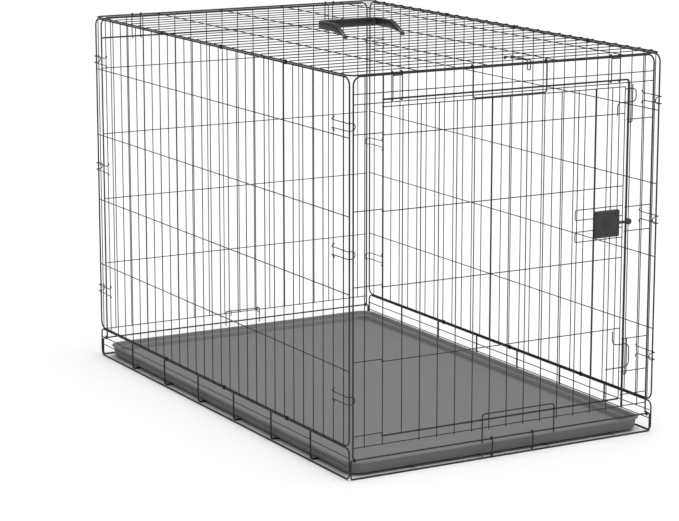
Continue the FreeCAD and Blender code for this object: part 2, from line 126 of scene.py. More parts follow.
LONG_X = (-0.221, -0.055, 0.110, 0.279)
SIDE_RAIL_Z = row(4, low("right_rails", 2) + THIN, high("right_rails", 2) - THIN)
REAR_RAIL_Z = (SILL_Z, *SIDE_RAIL_Z)
LEFT_RAIL_Z = row(5, SILL_Z + 24 * MM, LINTEL_Z - 67 * MM)
RIGHT_RAIL_Z = (LEFT_RAIL_Z[0] + MM, KEEPER_LOW + 6 * MM, KEEPER_LOW + 78 * MM, PLATE_Z - 23 * MM,
                PLATE_Z + 29 * MM, KEEPER_HIGH + 6 * MM)
FULL_RAIL_Z = (SILL_Z, END_TOP_Z - 55.2 * MM, END_TOP_Z - 34.9 * MM)


# ---- settings a user would change -----------------------------------------------------------------
class WireLook(bpy.types.PropertyGroup):
    """The coated wires."""
    sides: IntProperty(name="Sides", description="Faces round a wire", default=12, min=6, max=24)
    bead: FloatProperty(name="Weld bead", description="Weld spot size as a share of the wire's radius",
                        default=1.28, min=0.5, max=2.0)
    colour: FloatVectorProperty(name="Coating", description="Colour of the coating", subtype="COLOR", size=3,
                                min=0, max=1, default=(0.0022, 0.0022, 0.0024))
    roughness: FloatProperty(name="Roughness", description="Roughness of the coating", default=0.42, min=0,
                             max=1)


class TrayLook(bpy.types.PropertyGroup):
    """The floor tray."""
    wall: FloatProperty(name="Wall", description="Thickness of the moulding", default=2.6 * MM, unit="LENGTH")
    corner: FloatProperty(name="Corner", description="Radius of the rim's corners", default=36 * MM,
                          unit="LENGTH")
    colour: FloatVectorProperty(name="Plastic", description="Colour of the tray", subtype="COLOR", size=3,
                                min=0, max=1, default=(0.165, 0.165, 0.169))


class FittingLook(bpy.types.PropertyGroup):
    """The latch and the handle."""
    latch: FloatVectorProperty(name="Latch", description="Colour of the latch", subtype="COLOR", size=3,
                               min=0, max=1, default=(0.046, 0.046, 0.048))
    handle: FloatVectorProperty(name="Handle", description="Colour of the handle", subtype="COLOR", size=3,
                                min=0, max=1, default=(0.014, 0.014, 0.015))
    corner: FloatProperty(name="Plate corner", description="Corner radius of the latch plate", unit="LENGTH",
                          default=3.5 * MM)


class StageLook(bpy.types.PropertyGroup):
    """The floor, the lights and the camera."""
    azimuth: FloatProperty(name="Azimuth", description="Camera's turn about the crate", subtype="ANGLE",
                           default=math.radians(-29.573))
    elevation: FloatProperty(name="Elevation", description="Camera's height angle", subtype="ANGLE",
                             default=math.radians(11.887))
    distance: FloatProperty(name="Distance", description="Camera to its aim point", unit="LENGTH",
                            default=5.63)
    lens: FloatProperty(name="Lens", description="Focal length in millimetres", default=131.9)
    floor: FloatVectorProperty(name="Floor", description="Colour of the floor", subtype="COLOR", size=3,
                               min=0, max=1, default=(0.86, 0.86, 0.86))
    sky: FloatProperty(name="Sky", description="Strength of the surrounding light", default=0.32, min=0)


# ---- shader maths ---------------------------------------------------------------------------------
class Wave:
    """A shader socket that takes part in Python expressions."""

    def __init__(self, tree, socket):
        self.tree, self.socket = tree, socket

    def _with(self, operation, *others, swap=False):
        node = self.tree.nodes.new("ShaderNodeMath")
        node.operation = operation
        terms = [self, *others]
        if swap:
            terms.reverse()
        for place, term in enumerate(terms):
            if isinstance(term, Wave):
                self.tree.links.new(term.socket, node.inputs[place])
            else:
                node.inputs[place].default_value = term
        return Wave(self.tree, node.outputs[0])

    def __add__(self, other):
        return self._with("ADD", other)

    __radd__ = __add__

    def __mul__(self, other):
        return self._with("MULTIPLY", other)

    __rmul__ = __mul__

    def __sub__(self, other):
        return self._with("SUBTRACT", other)

    def __rsub__(self, other):
        return self._with("SUBTRACT", other, swap=True)

    def __pow__(self, other):
        return self._with("POWER", other)

    def clamped(self):
        return self._with("MAXIMUM", 0.0)._with("MINIMUM", 1.0)


class Finish:
    """A material under construction: one shader and the nodes that feed it."""

    def __init__(self, name, **settings):
        self.material = bpy.data.materials.new(name)
        self.material.use_nodes = True
        self.tree = self.material.node_tree
        self.shader = self.tree.nodes["Principled BSDF"]
        self.place = self.add("ShaderNodeTexCoord").outputs["Object"]
        for socket, value in settings.items():
            self.shader.inputs[socket.replace("_", " ")].default_value = value

    def add(self, kind, settings=None, **sockets):
        """A node of the given kind: its settings first, then its sockets' values or links."""
        node = self.tree.nodes.new(kind)
        for key, value in (settings or {}).items():
            if key == "stops":
                self.stops(node, value)
            else:
                setattr(node, key, value)
        for key, value in sockets.items():
            numbered = key[0] == "i" and key[1:].isdigit()
            self.feed(node.inputs[int(key[1:]) if numbered else key.replace("_", " ")], value)
        return node

    def stops(self, node, stops):
        ramp = node.color_ramp.elements
        while len(ramp) < len(stops):
            ramp.new(0.5)
        for element, (at, grey) in zip(ramp, stops):
            element.position, element.color = at, (grey, grey, grey, 1)

    def feed(self, socket, value):
        if isinstance(value, Wave):
            value = value.socket
        if isinstance(value, bpy.types.NodeSocket):
            self.tree.links.new(value, socket)
        else:
            socket.default_value = value

    def noise(self, scale, detail=2.0, stretch=None):
        place = self.place
        if stretch:
            place = self.add("ShaderNodeMapping", Vector=place, Scale=stretch).outputs[0]
        node = self.add("ShaderNodeTexNoise", Vector=place, Scale=scale, Detail=detail)
        return Wave(self.tree, node.outputs[0])

    def band(self, wave, start, end):
        """0 below start, 1 above end."""
        node = self.add("ShaderNodeMapRange", Value=wave, From_Min=start, From_Max=end)
        return Wave(self.tree, node.outputs[0])

    def blend(self, mask, a, b):
        return self.add("ShaderNodeMix", {"data_type": "RGBA"}, Factor=mask, i6=(*a, 1) if len(a) == 3 else a,
                        i7=(*b, 1)).outputs[2]

    def wear(self, **inputs):
        for key, value in inputs.items():
            self.feed(self.shader.inputs[key.replace("_", " ")], value)

    def relief(self, height, depth, strength=1.0):
        bump = self.add("ShaderNodeBump", Height=height, Distance=depth, Strength=strength)
        self.tree.links.new(bump.outputs[0], self.shader.inputs["Normal"])


def tint(colour, factor):
    return tuple(min(1.0, c * factor) for c in colour)


def coating():
    """Black electro-coat: a smooth semi-gloss film with faint orange peel and handling marks."""
    look = bpy.context.scene.crate_wires
    made = Finish("wire_coating", Metallic=0.0, IOR=1.12, Coat_Roughness=0.30)
    peel, patches, dust = made.noise(2600, 3), made.noise(34, 4), made.noise(6.5, 3)
    rub = made.band(made.noise(95, 5), 0.62, 0.78)
    colour = made.blend(rub * 0.35, tuple(look.colour), tint(look.colour, 2.6))
    made.wear(Base_Color=colour, Coat_Weight=(0.01 + dust * 0.03).clamped(),
              Roughness=(look.roughness - 0.10 + patches * 0.16 + rub * 0.08).clamped())
    made.relief(peel, 0.00006, 0.35)
    return made.material


def weld_finish():
    """The same film, duller and rougher over a weld spot."""
    look = bpy.context.scene.crate_wires
    made = Finish("weld_coating", Metallic=0.0, IOR=1.3)
    grain = made.noise(1500, 4)
    made.wear(Base_Color=made.blend(grain, tint(look.colour, 0.7), tint(look.colour, 1.9)),
              Roughness=(0.44 + grain * 0.22).clamped())
    made.relief(grain, 0.00025, 0.6)
    return made.material


def tray_plastic():
    """Moulded polypropylene: fine leather grain, faint flow marks, scuffs on the floor."""
    look = bpy.context.scene.crate_tray
    made = Finish("tray_plastic", IOR=1.49)
    grain = Wave(made.tree, made.add("ShaderNodeTexVoronoi", {"feature": "F1"}, Vector=made.place,
                                     Scale=620.0).outputs[0])
    cloud, flow = made.noise(3.2, 3), made.noise(2.2, 5, stretch=(6.0, 0.8, 1.0))
    streak = made.band(made.noise(26, 6, stretch=(0.35, 5.0, 1.0)), 0.63, 0.74)
    scuff = made.band(made.noise(60, 8, stretch=(1.0, 0.14, 1.0)), 0.66, 0.76)
    shade = (cloud * 0.5 + flow * 0.5).clamped()
    colour = made.blend(shade, tint(look.colour, 0.90), tint(look.colour, 1.12))
    marked = made.add("ShaderNodeMix", {"data_type": "RGBA"}, Factor=((scuff + streak) * 0.22).clamped(),
                      i6=colour, i7=(*tint(look.colour, 1.7), 1)).outputs[2]
    made.wear(Base_Color=marked, Roughness=(0.50 + cloud * 0.14 + scuff * 0.1).clamped())
    made.relief(grain * 0.7 + made.noise(1900, 2) * 0.3, 0.00030, 0.55)
    return made.material


def fitting_plastic(name, colour, rough, peak):
    """Glass-filled moulding of the small fittings."""
    made = Finish(name, IOR=1.5)
    spark, cloud = made.noise(2300, 3), made.noise(45, 4)
    rub = made.band(made.noise(150, 6), 0.60, 0.74)
    made.wear(Base_Color=made.blend((rub * 0.5).clamped(), tuple(colour), tint(colour, peak)),
              Roughness=(rough + cloud * 0.12).clamped(), Coat_Weight=(0.1 + rub * 0.15).clamped())
    made.relief(spark, 0.00012, 0.5)
    return made.material


def floor_paint():
    """A pale, plain studio floor."""
    look = bpy.context.scene.crate_stage
    made = Finish("stage_floor", Roughness=0.7)
    cloud = made.noise(1.5, 3)
    made.wear(Base_Color=made.blend(cloud, tint(look.floor, 0.992), tuple(look.floor)))
    return made.material


def material(name):
    """The named finish, made once."""
    if name in bpy.data.materials:
        return bpy.data.materials[name]
    fittings = bpy.context.scene.crate_fittings
    return {
        "wire_coating": coating, "weld_coating": weld_finish, "tray_plastic": tray_plastic,
        "stage_floor": floor_paint,
        "latch_plastic": lambda: fitting_plastic("latch_plastic", fittings.latch, 0.42, 1.5),
        "handle_plastic": lambda: fitting_plastic("handle_plastic", fittings.handle, 0.26, 1.8),
    }[name]()


# ---- wire paths -----------------------------------------------------------------------------------
def arc(centre, axis, start, angle, steps=None):
    """Points on an arc about axis, from start, over angle degrees."""
    centre, start = Vector(centre), Vector(start)
    steps = steps or max(3, int(abs(angle) / 12))
    return [centre + Matrix.Rotation(math.radians(angle) * i / steps, 3, axis) @ (start - centre)
            for i in range(steps + 1)]


def bent(points, radius, closed=False):
    """The corners of a path rounded to radius."""
    p = [Vector(q) for q in points]
    out = []
    for i, at in enumerate(p):
        if not closed and i in (0, len(p) - 1):
            out.append(at)
            continue
        into, away = (at - p[i - 1]).normalized(), (p[(i + 1) % len(p)] - at).normalized()
        angle = into.angle(away)
        if angle < 1e-3:
            continue
        axis = into.cross(away).normalized()
        start = at - into * radius * math.tan(angle / 2)
        out += arc(start + axis.cross(into) * radius, axis, start, math.degrees(angle))
    return out


def curl(at, heading, axis, radius, angle, rise=0.0):
    """The arc that a wire takes when it bends about axis from `at` along heading, climbing by rise."""
    at = Vector(at)
    points = arc(at + axis.cross(heading) * radius, axis, at, angle)
    return [p + axis * rise * i / (len(points) - 1) for i, p in enumerate(points)]


def loop(kind, at, a_span, b_span, radius):
    (a0, a1), (b0, b1) = a_span, b_span
    planes = {"xz": lambda a, b: (a, at, b), "yz": lambda a, b: (at, a, b), "xy": lambda a, b: (a, b, at)}
    place = planes[kind]
    return bent([place(*c) for c in ((a0, b0), (a1, b0), (a1, b1), (a0, b1))], radius, closed=True)


def hoop(centre, axis, radius):
    start = Vector(centre) + (Y if abs(axis.y) < 0.5 else X) * radius
    return arc(centre, axis, start, 360, 32)[:-1]


def mirrored(paths, across_x=False, across_y=False):
    flip = Vector((-1 if across_x else 1, -1 if across_y else 1, 1))
    return [([p * flip for p in points], closed) for points, closed in paths]


def opened(*paths):
    return [(list(map(Vector, p)), False) for p in paths]


def closed(*paths):
    return [(list(map(Vector, p)), True) for p in paths]


# ---- geometry node trees --------------------------------------------------------------------------
def node_tree(name, sockets):
    """An empty geometry node tree with the named inputs."""
    tree = bpy.data.node_groups.new(name, "GeometryNodeTree")
    tree.is_modifier = True
    tree.interface.new_socket("Geometry", in_out="OUTPUT", socket_type="NodeSocketGeometry")
    tree.interface.new_socket("Geometry", in_out="INPUT", socket_type="NodeSocketGeometry")
    for label, kind in sockets:
        tree.interface.new_socket(label, in_out="INPUT", socket_type="NodeSocket" + kind)
    return tree, tree.nodes.new("NodeGroupInput"), tree.nodes.new("NodeGroupOutput")


def add_node(tree, kind, settings=None, **links):
    node = tree.nodes.new("GeometryNode" + kind)
    for key, value in (settings or {}).items():
        setattr(node, key, value)
    for key, value in links.items():
        socket = node.inputs[key.replace("_", " ")]
        if isinstance(value, bpy.types.NodeSocket):
            tree.links.new(value, socket)
        else:
            socket.default_value = value
    return node


def wire_tree():
    """Sweeps a round section along edges and repeats the wire in a row."""
    if "Wire row" in bpy.data.node_groups:
        return bpy.data.node_groups["Wire row"]
    tree, given, out = node_tree("Wire row", (("Radius", "Float"), ("Sides", "Int"), ("Count", "Int"),
                                              ("Step", "Vector"), ("Finish", "Material")))
    thick = add_node(tree, "InputNamedAttribute", {"data_type": "FLOAT"}, Name="thick")
    path = add_node(tree, "MeshToCurve", Mesh=given.outputs["Geometry"])
    sized = add_node(tree, "SetCurveRadius", Curve=path.outputs[0], Radius=thick.outputs[0])
    section = add_node(tree, "CurvePrimitiveCircle", Radius=given.outputs["Radius"],
                       Resolution=given.outputs["Sides"])
    swept = add_node(tree, "CurveToMesh", Curve=sized.outputs[0], Profile_Curve=section.outputs[0],
                     Fill_Caps=True)
    smooth = add_node(tree, "SetShadeSmooth", Geometry=swept.outputs[0])
    places = add_node(tree, "MeshLine", Count=given.outputs["Count"], Offset=given.outputs["Step"])
    placed = add_node(tree, "InstanceOnPoints", Points=places.outputs[0], Instance=smooth.outputs[0])
    real = add_node(tree, "RealizeInstances", Geometry=placed.outputs[0])
    finished = add_node(tree, "SetMaterial", Geometry=real.outputs[0], Material=given.outputs["Finish"])
    tree.links.new(finished.outputs[0], out.inputs[0])
    return tree


def spot_tree():
    """Sets a flattened bead on every point."""
    if "Weld spots" in bpy.data.node_groups:
        return bpy.data.node_groups["Weld spots"]
    tree, given, out = node_tree("Weld spots", (("Size", "Vector"), ("Finish", "Material")))
    bead = add_node(tree, "MeshIcoSphere", Radius=1.0, Subdivisions=2)
    squashed = add_node(tree, "Transform", Geometry=bead.outputs[0], Scale=given.outputs["Size"])
    smooth = add_node(tree, "SetShadeSmooth", Geometry=squashed.outputs[0])
    placed = add_node(tree, "InstanceOnPoints", Points=given.outputs["Geometry"], Instance=smooth.outputs[0])
    real = add_node(tree, "RealizeInstances", Geometry=placed.outputs[0])
    finished = add_node(tree, "SetMaterial", Geometry=real.outputs[0], Material=given.outputs["Finish"])
    tree.links.new(finished.outputs[0], out.inputs[0])
    return tree


def grown(name, mesh, tree, inputs):
    """A new plain mesh object: the mesh run through the tree with the given inputs."""
    source = bpy.data.objects.new(name + "_source", mesh)
    bpy.context.collection.objects.link(source)
    modifier = source.modifiers.new("grow", "NODES")
    modifier.node_group = tree
    sockets = {item.name: item.identifier for item in tree.interface.items_tree
               if item.item_type == "SOCKET" and item.in_out == "INPUT"}
    for label, value in inputs.items():
        modifier[sockets[label]] = value
    evaluated = source.evaluated_get(bpy.context.evaluated_depsgraph_get())
    plain = bpy.data.meshes.new_from_object(evaluated)
    for attribute in [a for a in plain.attributes if a.name == "thick"]:
        plain.attributes.remove(attribute)
    bpy.data.objects.remove(source)
    piece = bpy.data.objects.new(name, plain)
    bpy.context.collection.objects.link(piece)
    return piece


def tips(points, radius):
    """A wire's path with its sheared ends rounded over, and the thickness at each point."""
    first, last = (points[0] - points[1]).normalized(), (points[-1] - points[-2]).normalized()
    shape = ((0.0, 0.5), (0.18, 0.8), (0.5, 1.0))
    start = [(points[0] - first * radius * d, t) for d, t in shape]
    end = [(points[-1] - last * radius * d, t) for d, t in reversed(shape)]
    return start + [(p, 1.0) for p in points[1:-1]] + end


def path_mesh(paths, radius):
    verts, edges, thick = [], [], []
    for points, is_closed in paths:
        base = len(verts)
        shaped = [(p, 1.0) for p in points] if is_closed else tips(points, radius)
        verts += [p for p, _ in shaped]
        thick += [t for _, t in shaped]
        edges += [(base + i, base + i + 1) for i in range(len(shaped) - 1)]
        if is_closed:
            edges.append((base + len(shaped) - 1, base))
    mesh = bpy.data.meshes.new("path")
    mesh.from_pydata(verts, edges, [])
    mesh.attributes.new("thick", "FLOAT", "POINT").data.foreach_set("value", thick)
    return mesh


def settle(piece, body, slot, *nodes):
    """Puts a finished piece on its body, in the place of its CAD nodes."""
    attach(piece, body)
    if nodes:
        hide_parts(*nodes)
    return piece


def wires(name, body, node, paths, radius, count=1, step=(0, 0, 0), sides=None):
    """Wires along the paths, each repeated in a row, standing for one CAD node."""
    inputs = {"Radius": radius, "Sides": sides or bpy.context.scene.crate_wires.sides, "Count": count,
              "Step": Vector(step), "Finish": material("wire_coating")}
    piece = grown(name, path_mesh(paths, radius), wire_tree(), inputs)
    return settle(piece, body, "wire_coating", *([node] if node else []))


def welds(name, body, places, size):
    """A weld spot at each place."""
    bead = bpy.context.scene.crate_wires.bead
    mesh = bpy.data.meshes.new("places")
    mesh.from_pydata([Vector(p) for p in places], [], [])
    inputs = {"Size": Vector(size) * bead, "Finish": material("weld_coating")}
    return settle(grown(name, mesh, spot_tree(), inputs), body, "wire_coating")


# ---- lofted mouldings -----------------------------------------------------------------------------
def rounded(half_a, half_b, corner, steps=6):
    """A rounded rectangle's outline as (a, b) pairs, anticlockwise."""
    corner = min(corner, half_a * 0.98, half_b * 0.98)
    out = []
    for quarter, (sa, sb) in enumerate(((1, 1), (-1, 1), (-1, -1), (1, -1))):
        for i in range(steps + 1):
            turn = math.radians(90 * (quarter + i / steps))
            out.append((sa * (half_a - corner) + corner * math.cos(turn),
                        sb * (half_b - corner) + corner * math.sin(turn)))
    return out


def lofted(name, rings, finish, smooth_angle=35, join_ends=False):
    """A closed skin over rings of equal point counts."""
    mesh = bmesh.new()
    made = [[mesh.verts.new(p) for p in points] for points in rings]
    pairs = list(zip(made, made[1:])) + ([(made[-1], made[0])] if join_ends else [])
    for a, b in pairs:
        for i in range(len(a)):
            j = (i + 1) % len(a)
            mesh.faces.new((a[i], a[j], b[j], b[i]))
    if not join_ends:
        mesh.faces.new(list(reversed(made[0])))
        mesh.faces.new(made[-1])
    bmesh.ops.recalc_face_normals(mesh, faces=mesh.faces)
    for face in mesh.faces:
        face.smooth = True
    for edge in mesh.edges:
        if len(edge.link_faces) == 2 and edge.calc_face_angle(0) > math.radians(smooth_angle):
            edge.smooth = False
    data = bpy.data.meshes.new(name)
    mesh.to_mesh(data)
    mesh.free()
    data.materials.append(material(finish))
    piece = bpy.data.objects.new(name, data)
    bpy.context.collection.objects.link(piece)
    return piece


def joined(name, pieces):
    """One object from several, in the given order."""
    mesh = bmesh.new()
    finishes = []
    for piece in pieces:
        for slot in piece.data.materials:
            if slot not in finishes:
                finishes.append(slot)
        shift = finishes.index(piece.data.materials[0])
        start = len(mesh.faces)
        mesh.from_mesh(piece.data)
        mesh.faces.ensure_lookup_table()
        for face in mesh.faces[start:]:
            face.material_index = shift
        bpy.data.objects.remove(piece)
    data = bpy.data.meshes.new(name)
    mesh.to_mesh(data)
    mesh.free()
    for slot in finishes:
        data.materials.append(slot)
    piece = bpy.data.objects.new(name, data)
    bpy.context.collection.objects.link(piece)
    return piece


# ---- base -----------------------------------------------------------------------------------------
def build_base():
    for side, label in ((-1, "left"), (1, "right")):
        wires("base_lip_loop_" + label, "frame", "base_side_loops", closed(loop(
            "yz", side * SIDE_X, (-END_Y, END_Y), (BORDER, LIP_Z), 12 * MM)), BORDER)
    loop_x = high("base_rear_loop", 0) - BORDER
    for end, node in ((-1, "base_front_loop"), (1, "base_rear_loop")):
        wires(node + "_wire", "frame", node, closed(loop(
            "xz", end * FOLD_Y, (-loop_x, loop_x), (BORDER, FOLD_Z), 4.5 * MM)), BORDER)
    post_x = high("base_cross_wires", 0) - BOLD
    first = low("base_cross_wires", 1) + BOLD
    pitch = (high("base_cross_wires", 1) - BOLD - first) / 5
    top = high("base_cross_wires", 2)
    cross = bent([(-post_x, first, top), (-post_x, first, BOLD), (post_x, first, BOLD), (post_x, first, top)],
                 7 * MM)
    wires("base_cross_wire_row", "frame", "base_cross_wires", opened(cross), BOLD, 6, (0, pitch, 0))
    lip_x, reach = high("base_lip_wires", 0) - THIN, high("base_lip_wires", 1)
    lip_z = (low("base_lip_wires", 2) + THIN, high("base_lip_wires", 2) - THIN)
    wires("base_lip_wire_row", "frame", "base_lip_wires", opened(*(
        [(side * lip_x, -reach, z), (side * lip_x, reach, z)] for side in (-1, 1) for z in lip_z)), THIN)
    floor_z, long_y = mid("base_long_wires", 2), high("base_long_wires", 1)
    wires("base_long_wire_row", "frame", "base_long_wires", opened(*(
        [(x, -long_y, floor_z), (x, long_y, floor_z)] for x in LONG_X)), THIN)
    crosses = [first + pitch * i for i in range(6)]
    places = [(x, y, floor_z - THIN) for x in LONG_X for y in crosses]
    welds("base_floor_welds", "frame", places, (BOLD, BOLD, THIN * 0.55))
    places = [(side * (lip_x - THIN), y, z) for side in (-1, 1) for y in crosses for z in lip_z]
    welds("base_lip_welds", "frame", places, (THIN * 0.55, BOLD, BOLD))
    over = BORDER + 0.1 * MM + GUARD
    foot = 2 * BORDER + 0.1 * MM + GUARD
    inner_y, outer_y, head = -FOLD_Y + over, -FOLD_Y - over, FOLD_Z + over
    wires("base_tie_wires", "frame", "base_ties", opened(*(bent(
        [(x, inner_y, FOLD_Z - 4 * MM), (x, inner_y, head), (x, outer_y, head), (x, outer_y, foot),
         (x, inner_y, foot)], over * 0.99)
        for x in (low("base_ties", 0) + GUARD, high("base_ties", 0) - GUARD))), GUARD)


# ---- sides and top --------------------------------------------------------------------------------
def build_sides():
    count = 29
    for side, label in ((-1, "left"), (1, "right")):
        border, uprights, rails = (label + "_" + part for part in ("border", "uprights", "rails"))
        z0, z1 = low(border, 2) + BORDER, high(border, 2) - BORDER
        wires(label + "_border_wire", "frame", border, closed(loop(
            "yz", side * SIDE_X, (-END_Y, END_Y), (z0, z1), 17 * MM)), BORDER)
        first, last = low(uprights, 1) + THIN, high(uprights, 1) - THIN
        foot, head = low(uprights, 2), high(uprights, 2)
        wires(label + "_upright_row", "frame", uprights, opened(
            [(side * UPRIGHT_X, first, foot), (side * UPRIGHT_X, first, head)]), THIN, count,
            (0, (last - first) / (count - 1), 0))
        reach = high(rails, 1)
        wires(label + "_rail_row", "frame", rails, opened(*(
            [(side * RAIL_X, -reach, z), (side * RAIL_X, reach, z)] for z in SIDE_RAIL_Z)), THIN)
        places = [(side * (UPRIGHT_X - THIN), y, z) for y in row(count, first, last)
                  for z in (*SIDE_RAIL_Z, z0, z1)]
        welds(label + "_welds", "frame", places, (THIN * 0.5, THIN, THIN))


def build_top():
    count = 28
    wires("top_border_wire", "frame", "top_border", closed(loop(
        "xy", TOP_Z, (-SIDE_X, SIDE_X), (-TOP_END_Y, TOP_END_Y), 17 * MM)), BORDER)
    first, last = low("top_cross_wires", 1) + THIN, high("top_cross_wires", 1) - THIN
    reach, pitch = high("top_cross_wires", 0), (last - first) / (count - 1)
    wires("top_cross_wire_row", "frame", "top_cross_wires", opened(
        [(-reach, first, CROSS_Z), (reach, first, CROSS_Z)]), THIN, count, (0, pitch, 0))
    long_y = high("top_long_wires", 1)
    wires("top_long_wire_row", "frame", "top_long_wires", opened(*(
        [(x, -long_y, LONG_Z), (x, long_y, LONG_Z)] for x in LONG_X)), THIN)
    places = [(x, y, CROSS_Z - THIN) for y in row(count, first, last) for x in (*LONG_X, -SIDE_X, SIDE_X)]
    welds("top_welds", "frame", places, (THIN, THIN, THIN * 0.5))


def strap_rings(side, y, low_z, high_z, wide):
    """Outlines of a C-shaped band round two stacked wires, open on the inner face."""
    rings = []
    centre_x = side * SIDE_X
    inner, wall = BORDER + 0.12 * MM, 1.15 * MM
    turns = [math.radians(-90 + 15 * i) for i in range(13)]
    upper = [(math.sin(turn), math.cos(turn), high_z) for turn in turns]
    lower = [(-x, -z, low_z) for x, z, _ in upper]
    for x, z, base in upper + lower:
        radii = ((inner, -wide), (inner + wall * 0.75, -wide), (inner + wall, -wide * 0.86),
                 (inner + wall, wide * 0.86), (inner + wall * 0.75, wide), (inner, wide))
        rings.append([Vector((centre_x + x * r, y + w, base + z * r)) for r, w in radii])
    return rings


def build_straps():
    border_low, border_high = low("right_border", 2) + BORDER, high("right_border", 2) - BORDER
    for side, label in ((-1, "left"), (1, "right")):
        bands = []
        for bay in (-8.15, -1.2, 5.8):
            for a, b in ((LIP_Z, border_low), (border_high, TOP_Z)):
                rings = strap_rings(side, bay * SIDE_PITCH, a, b, 3 * MM)
                bands.append(lofted("band", rings, "weld_coating", 40, join_ends=True))
        settle(joined(label + "_hinge_bands", bands), "frame", "wire_coating", label + "_hinge_straps")


# ---- end panels -----------------------------------------------------------------------------------
def end_border(end):
    """The arch of an end panel, and the radius of the eyes beside its feet."""
    foot, y = FOLD_Z + 2 * MM, end * ARCH_Y
    corners = [(-END_HALF, foot), (-END_HALF, END_TOP_Z), (END_HALF, END_TOP_Z), (END_HALF, foot)]
    arch = bent([(x, y, z) for x, z in corners], 17 * MM)
    return arch, max(BORDER + GAP + EYE, FOLD_Y - ARCH_Y - BORDER - EYE + WELD)


def build_end_border(end, body, node):
    arch, eye = end_border(end)
    wires(node + "_wire", body, node, opened(arch), BORDER)
    for side, label in ((-1, "left"), (1, "right")):
        centre = (side * END_HALF, end * FOLD_Y, FOLD_Z)
        wires(node + "_eye_" + label, body, node, closed(hoop(centre, X, eye)), EYE)


def bar(x0, x1, y, z):
    return [(x0, y, z), (x1, y, z)]


def build_front():
    body = "front_panel"
    build_end_border(-1, body, "front_border")
    foot, head = low("front_uprights", 2), high("front_uprights", 2)
    y = -HINGE_Y
    wires("front_upright_row", body, "front_uprights", opened(*(
        [(across(k), y, foot), (across(k), y, top)]
        for k, top in ((1, head), (2, head), (16, FULL_RAIL_Z[1] + THIN), (17, head)))), THIN)
    inside = high("front_rails", 0)
    rails = [bar(-inside, inside, -END_RAIL_Y, z) for z in FULL_RAIL_Z]
    rails += [bar(-inside, HINGE_X + MM, -END_RAIL_Y, z) for z in LEFT_RAIL_Z]
    rails += [bar(JAMB_X - MM, inside, -END_RAIL_Y, z) for z in RIGHT_RAIL_Z]
    wires("front_rail_row", body, "front_rails", opened(*rails), THIN)
    node = "front_door_frame_rod"
    corners = [(low(node, 0), LINTEL_Z), (JAMB_X, LINTEL_Z), (JAMB_X, low(node, 2))]
    wires(node + "_wire", body, node, opened(bent([(x, -LINTEL_Y, z) for x, z in corners], 8 * MM)), BOLD)
    places = [(across(k), y + THIN, z) for k in (1, 2) for z in LEFT_RAIL_Z]
    places += [(x, y + THIN, z) for x in (JAMB_X, across(17)) for z in RIGHT_RAIL_Z]
    places += [(x, y + THIN, z) for x in (across(1), HINGE_X, JAMB_X, across(17)) for z in FULL_RAIL_Z]
    places += [(x, y - THIN, LINTEL_Z) for x in (HINGE_X, JAMB_X)]
    welds("front_welds", body, places, (THIN, THIN * 0.5, THIN))
    keeper_y = mid("front_keepers", 1)
    x0, x1 = low("front_keepers", 0) + HOOK, high("front_keepers", 0) - HOOK
    wires("front_keeper_loops", body, "front_keepers", opened(*(bent(
        [(x0, keeper_y, b), (x0, keeper_y, a), (x1, keeper_y, a), (x1, keeper_y, b)], 3.9 * MM)
        for a, b in ((start, start + 80 * MM) for start in (KEEPER_LOW, KEEPER_HIGH)))), HOOK)


def build_rear():
    body = "rear_panel"
    build_end_border(1, body, "rear_border")
    foot, head = low("rear_uprights", 2), high("rear_uprights", 2)
    wires("rear_upright_row", body, "rear_uprights", opened(
        [(across(1), HINGE_Y, foot), (across(1), HINGE_Y, head)]), THIN, 17, (END_PITCH, 0, 0))
    inside = high("rear_rails", 0)
    wires("rear_rail_row", body, "rear_rails", opened(*(
        bar(-inside, inside, END_RAIL_Y, z) for z in REAR_RAIL_Z)), THIN)
    wires("rear_top_rod_wire", body, "rear_top_rod", opened(bar(-inside, inside, LINTEL_Y, LINTEL_Z)), BOLD)
    places = [(across(k), HINGE_Y - THIN, z) for k in range(1, 18) for z in (*REAR_RAIL_Z, head - 1.2 * MM)]
    places += [(across(k), HINGE_Y + THIN, LINTEL_Z) for k in range(1, 18)]
    welds("rear_welds", body, places, (THIN, THIN * 0.5, THIN))


